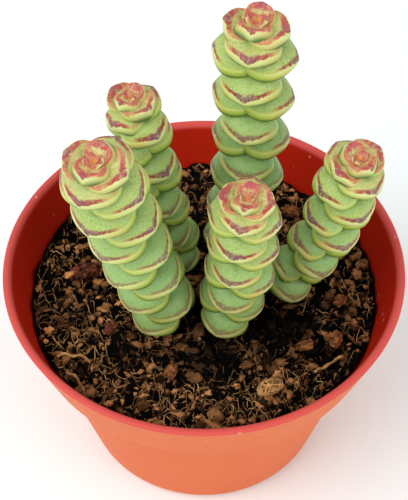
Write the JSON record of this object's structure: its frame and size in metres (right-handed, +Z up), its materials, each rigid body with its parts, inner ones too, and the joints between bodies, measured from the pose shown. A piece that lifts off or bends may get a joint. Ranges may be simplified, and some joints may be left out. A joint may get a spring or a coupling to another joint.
{
  "type": "potted stacked-leaf crassula",
  "caption": "Small succulent of upright columns of stacked fleshy leaf pairs with rosette tips, standing in bark and coir mix in a shallow round nursery pot.",
  "frame": {"origin": "centre of the pot's underside, on the surface that it stands on", "axes": "+Z up through the pot's middle, -Y towards the viewer, +X to the viewer's right"},
  "size_m": [0.0598, 0.0598, 0.0815],
  "materials": {
    "pot_plastic": "moulded red-orange polypropylene, lightly scuffed",
    "potting_mix": "dark damp bark and coir mix",
    "leaf": "waxy yellow-green skin with a maroon line inside the margin",
    "bark": "rough brown bark",
    "straw": "dry golden fibre"
  },
  "bodies": {
    "root": {"pot": "pot_plastic", "soil": "potting_mix", "stem_front_left": "leaf", "stem_back_left": "leaf", "stem_back_centre": "leaf", "stem_front_centre": "leaf", "stem_right": "leaf", "bark_chip_1": "bark", "bark_chip_2": "bark", "bark_chip_3": "bark", "bark_chip_4": "bark", "bark_chip_5": "bark", "bark_chip_6": "bark", "bark_chip_7": "bark", "bark_chip_8": "bark", "bark_chip_9": "bark", "straw_1": "straw", "straw_2": "straw", "straw_3": "straw"}
  },
  "joints": []
}
